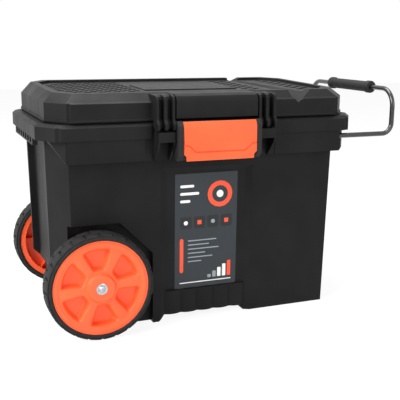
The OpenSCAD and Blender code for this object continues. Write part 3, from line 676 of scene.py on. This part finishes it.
def anti_slip_tree():
    """Geometry tree that sets bars on a grid, clear of the corners, the pad and the vee groove."""
    tree = bpy.data.node_groups.new("anti_slip_field", "GeometryNodeTree")

    def calc(operation, first, second=0.0):
        node = add_node(tree, "ShaderNodeMath", {0: first, 1: second}, operation=operation)
        return node.outputs[0]

    def room(half, value, corner):
        """Distance from the edge of the field, in lengths of its cut corner."""
        return calc("DIVIDE", calc("SUBTRACT", given[half], calc("ABSOLUTE", value)), given[corner])

    face = tree.interface
    face.new_socket("Geometry", in_out="INPUT", socket_type="NodeSocketGeometry")
    face.new_socket("Bar", in_out="INPUT", socket_type="NodeSocketObject")
    for name in ("Half Length", "Half Width", "Corner Length", "Corner Width", "Pitch", "Pad Half",
                 "Vee Left", "Vee Right"):
        face.new_socket(name, in_out="INPUT", socket_type="NodeSocketFloat")
    face.new_socket("Material", in_out="INPUT", socket_type="NodeSocketMaterial")
    face.new_socket("Geometry", in_out="OUTPUT", socket_type="NodeSocketGeometry")
    given = add_node(tree, "NodeGroupInput").outputs
    pitch = given["Pitch"]
    across = calc("FLOOR", calc("DIVIDE", calc("MULTIPLY", given["Half Length"], 2.0), pitch))
    down = calc("FLOOR", calc("DIVIDE", calc("MULTIPLY", given["Half Width"], 2.0), pitch))
    grid = add_node(tree, "GeometryNodeMeshGrid", {
        "Size X": calc("MULTIPLY", calc("SUBTRACT", across, 1.0), pitch),
        "Size Y": calc("MULTIPLY", calc("SUBTRACT", down, 1.0), pitch),
        "Vertices X": across,
        "Vertices Y": down,
    })
    position = add_node(tree, "GeometryNodeInputPosition")
    place = add_node(tree, "ShaderNodeSeparateXYZ", {0: position.outputs[0]})
    x = place.outputs[0]
    y = place.outputs[1]
    from_corner = calc("ADD", room("Half Length", x, "Corner Length"),
                       room("Half Width", y, "Corner Width"))
    in_corner = calc("LESS_THAN", from_corner, CORNER_KEEP)
    on_pad = calc("LESS_THAN", calc("ABSOLUTE", x), given["Pad Half"])
    in_vee = calc("MULTIPLY", calc("GREATER_THAN", x, given["Vee Left"]),
                  calc("LESS_THAN", x, given["Vee Right"]))
    column = calc("FLOOR", calc("DIVIDE", calc("ADD", x, given["Half Length"]), pitch))
    row = calc("FLOOR", calc("DIVIDE", calc("ADD", y, given["Half Width"]), pitch))
    skipped = calc("PINGPONG", calc("ADD", column, row), 1.0)
    dropped = calc("MAXIMUM", calc("MAXIMUM", in_corner, skipped),
                   calc("MAXIMUM", on_pad, in_vee))
    kept = add_node(tree, "GeometryNodeDeleteGeometry", {
        "Geometry": grid.outputs["Mesh"],
        "Selection": calc("GREATER_THAN", dropped, 0.5),
    })
    bar = add_node(tree, "GeometryNodeObjectInfo", {"Object": given["Bar"], "As Instance": True})
    scattered = add_node(tree, "GeometryNodeInstanceOnPoints", {
        "Points": kept.outputs[0],
        "Instance": bar.outputs["Geometry"],
    })
    real = add_node(tree, "GeometryNodeRealizeInstances", {"Geometry": scattered.outputs[0]})
    painted = add_node(tree, "GeometryNodeSetMaterial", {
        "Geometry": real.outputs[0], "Material": given["Material"],
    })
    add_node(tree, "NodeGroupOutput", {"Geometry": painted.outputs[0]})
    return tree


def run_tree(name, tree, values):
    """Evaluates a geometry tree on an empty mesh and returns the plain mesh object."""
    obj = add_object(name, bpy.data.meshes.new(name), [])
    modifier = obj.modifiers.new("rule", "NODES")
    modifier.node_group = tree
    for item in tree.interface.items_tree:
        if item.in_out == "INPUT" and item.name in values:
            modifier[item.identifier] = values[item.name]
    return apply_modifiers(obj)


def add_anti_slip():
    bar = raised_bar()
    obj = run_tree("anti_slip_bars", anti_slip_tree(), {
        "Bar": bar,
        "Half Length": (TOP_HALF_LENGTH - TOP_MARGIN) * MM,
        "Half Width": (TOP_HALF_WIDTH - TOP_MARGIN) * MM,
        "Corner Length": TOP_CORNER_LENGTH * MM,
        "Corner Width": TOP_CORNER_WIDTH * MM,
        "Pitch": BAR_PITCH * MM,
        "Pad Half": (PAD_HALF + BAR_LENGTH / 2) * MM,
        "Vee Left": (VEE_LEFT - BAR_LENGTH / 2) * MM,
        "Vee Right": (VEE_RIGHT + BAR_LENGTH / 2) * MM,
        "Material": black_plastic,
    })
    bpy.data.objects.remove(bar)
    tilt = math.atan(TOP_RISE / (2 * CROWN_HALF_WIDTH))
    hinge_line = Matrix.Translation((mid_x, mid_y - CROWN_HALF_WIDTH * MM, LID_TOP * MM))
    back = Matrix.Translation((0, CROWN_HALF_WIDTH * MM, -TOP_SINK * MM))
    obj.data.transform(hinge_line @ Matrix.Rotation(tilt, 4, "X") @ back)
    smooth_by_angle(obj.data, BAR_SMOOTH)
    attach(obj, "lid_body")


add_anti_slip()


# Label: a slate film with a plain generic layout of a ring, tiles, lines and blocks

LABEL_THICK = 0.12
LABEL_LEAN = math.atan(5 / 375)
LABEL_CAD_THICK = 0.5
LABEL_MARGIN = 10
SLATE, ORANGE, WHITE, GREY, DARK = range(5)
label_width = (label_high.x - label_low.x) / MM
label_height = (label_high.z - label_low.z) / math.cos(LABEL_LEAN) / MM


def rounded_plate(x, z, width, height, radius, lift, steps=5):
    """Vertices and faces of a thin plate with rounded corners, in label millimetres."""
    radius = min(radius, width / 2, height / 2)
    outline = []
    corners = ((x + width - radius, z + radius, -90), (x + width - radius, z + height - radius, 0),
               (x + radius, z + height - radius, 90), (x + radius, z + radius, 180))
    for cx, cz, start in corners:
        for i in range(steps):
            angle = math.radians(start + 90 * i / (steps - 1))
            outline.append((cx + radius * math.cos(angle), cz + radius * math.sin(angle)))
    count = len(outline)
    vertices = [(px, 0.0, pz) for px, pz in outline] + [(px, -lift, pz) for px, pz in outline]
    faces = [tuple(reversed(range(count, 2 * count)))]
    faces += [(i, (i + 1) % count, count + (i + 1) % count, count + i) for i in range(count)]
    return vertices, faces


def label_layout():
    """Plates of the print: (material, x, z, width, height, corner radius)."""
    w = label_width
    h = label_height
    left = LABEL_MARGIN
    plates = [(SLATE, 0, 0, w, h, 2.5)]
    # ring in the upper right quarter, with short bars beside it
    plates += [(ORANGE, w - 60, h - 66, 50, 50, 25), (SLATE, w - 51, h - 57, 32, 32, 16)]
    plates += [(WHITE, w - 42, h - 48, 14, 14, 7)]
    for i, share in enumerate((0.22, 0.30, 0.16)):
        plates.append((WHITE, left, h - 26 - 14 * i, w * share, 5, 2.5))
    # row of tiles, each with a small mark
    marks = ((WHITE, 4), (ORANGE, 1), (GREY, 4), (ORANGE, 1))
    for i, (ink, corner) in enumerate(marks):
        plates.append((DARK, left + 27 * i, h - 104, 23, 23, 4))
        plates.append((ink, left + 7.5 + 27 * i, h - 96.5, 8, 8, corner))
    # upright stripe with fine lines that start beside it
    plates.append((ORANGE, left, 30, 7, h - 152, 3.5))
    for i, share in enumerate((0.46, 0.34, 0.50, 0.28, 0.40, 0.22)):
        plates.append((GREY, left + 16, h - 128 - 8 * i, w * share, 2, 1))
    # blocks that rise towards the right, over a thin foot line
    for i, ink in enumerate((GREY, GREY, WHITE, WHITE, ORANGE)):
        plates.append((ink, w - 58 + 10 * i, 16, 7, 6 + 6 * i, 1.2))
    plates.append((WHITE, left, 9, w - 2 * LABEL_MARGIN, 1.8, 0.9))
    return plates


def add_label():
    vertices = []
    faces = []
    owners = []
    for level, (material, x, z, width, height, radius) in enumerate(label_layout()):
        lift = LABEL_THICK * (0.4 if level == 0 else 1 + 0.04 * level)
        corners, sides = rounded_plate(x, z, width, height, radius, lift)
        start = len(vertices)
        vertices += [(px * MM, py * MM, pz * MM) for px, py, pz in corners]
        faces += [tuple(start + i for i in side) for side in sides]
        owners += [material] * len(sides)
    mesh = bpy.data.meshes.new("label_print")
    mesh.from_pydata(vertices, [], faces)
    # The film lies on the front of the CAD label, which leans outwards with the wall
    foot_y = label_high.y - LABEL_CAD_THICK * MM
    foot = Matrix.Translation((label_low.x, foot_y, label_low.z))
    mesh.transform(foot @ Matrix.Rotation(LABEL_LEAN, 4, "X"))
    films = [film_slate, film_orange, film_white, film_grey, film_dark]
    obj = add_object("label_print", mesh, films)
    for polygon, material in zip(mesh.polygons, owners):
        polygon.material_index = material
    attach(obj, "tub_body")


add_label()
dress(["label"], film_slate)


# Floor, world and lamps: plain and pale, brighter from the left as in the photograph

FLOOR_SIZE = 12.0
FLOOR_TINT = "#fafafa"
FLOOR_GLOW_SHARE = 0.84
FLOOR_GLOW = 1.07
WORLD_LIGHT = 0.34


def camera_sees(tree):
    """1 for camera, glossy and transmission rays."""
    path = add_node(tree, "ShaderNodeLightPath")
    most = add_node(tree, "ShaderNodeMath", {
        0: path.outputs["Is Camera Ray"], 1: path.outputs["Is Glossy Ray"],
    }, operation="MAXIMUM")
    return add_node(tree, "ShaderNodeMath", {
        0: most.outputs[0], 1: path.outputs["Is Transmission Ray"],
    }, operation="MAXIMUM").outputs[0]


def add_floor():
    material, tree = new_material("pale_floor")
    matt = add_node(tree, "ShaderNodeBsdfDiffuse", {"Color": srgb(FLOOR_TINT)})
    glow = add_node(tree, "ShaderNodeEmission", {"Strength": FLOOR_GLOW})
    share = add_node(tree, "ShaderNodeMath", {
        0: camera_sees(tree), 1: FLOOR_GLOW_SHARE,
    }, operation="MULTIPLY")
    mixed = add_node(tree, "ShaderNodeMixShader", {
        0: share.outputs[0], 1: matt.outputs[0], 2: glow.outputs[0],
    })
    add_node(tree, "ShaderNodeOutputMaterial", {"Surface": mixed.outputs[0]})
    half = FLOOR_SIZE / 2
    mesh = bpy.data.meshes.new("floor")
    corners = [(-half, -half, 0), (half, -half, 0), (half, half, 0), (-half, half, 0)]
    mesh.from_pydata(corners, [], [(0, 1, 2, 3)])
    floor = add_object("floor", mesh, [material])


def add_world():
    world = bpy.data.worlds.new("studio")
    scene.world = world
    world.use_nodes = True
    tree = world.node_tree
    tree.nodes.clear()
    ambient = add_node(tree, "ShaderNodeBackground", {
        "Color": (1, 1, 1, 1), "Strength": WORLD_LIGHT,
    })
    seen = add_node(tree, "ShaderNodeBackground", {"Color": (1, 1, 1, 1), "Strength": 1.0})
    mixed = add_node(tree, "ShaderNodeMixShader", {
        0: camera_sees(tree), 1: ambient.outputs[0], 2: seen.outputs[0],
    })
    add_node(tree, "ShaderNodeOutputWorld", {"Surface": mixed.outputs[0]})


def add_lamp(name, place, target, size, power):
    data = bpy.data.lights.new(name, "AREA")
    data.shape = "RECTANGLE"
    data.size = size[0]
    data.size_y = size[1]
    data.energy = power
    lamp = bpy.data.objects.new(name, data)
    scene.collection.objects.link(lamp)
    direction = Vector(target) - Vector(place)
    turn = direction.to_track_quat("-Z", "Y").to_matrix().to_4x4()
    lamp.matrix_world = Matrix.Translation(place) @ turn


add_floor()
add_world()
add_lamp("left_softbox", (-2.1, -0.9, 1.5), (0, 0, 0.2), (1.3, 1.1), 66)
add_lamp("top_softbox", (-0.3, 0.2, 2.6), (0, 0, 0.3), (1.8, 1.8), 84)
add_lamp("front_fill", (0.9, -2.6, 1.2), (0, 0, 0.2), (1.4, 1.4), 15)

scene.view_settings.view_transform = "Standard"
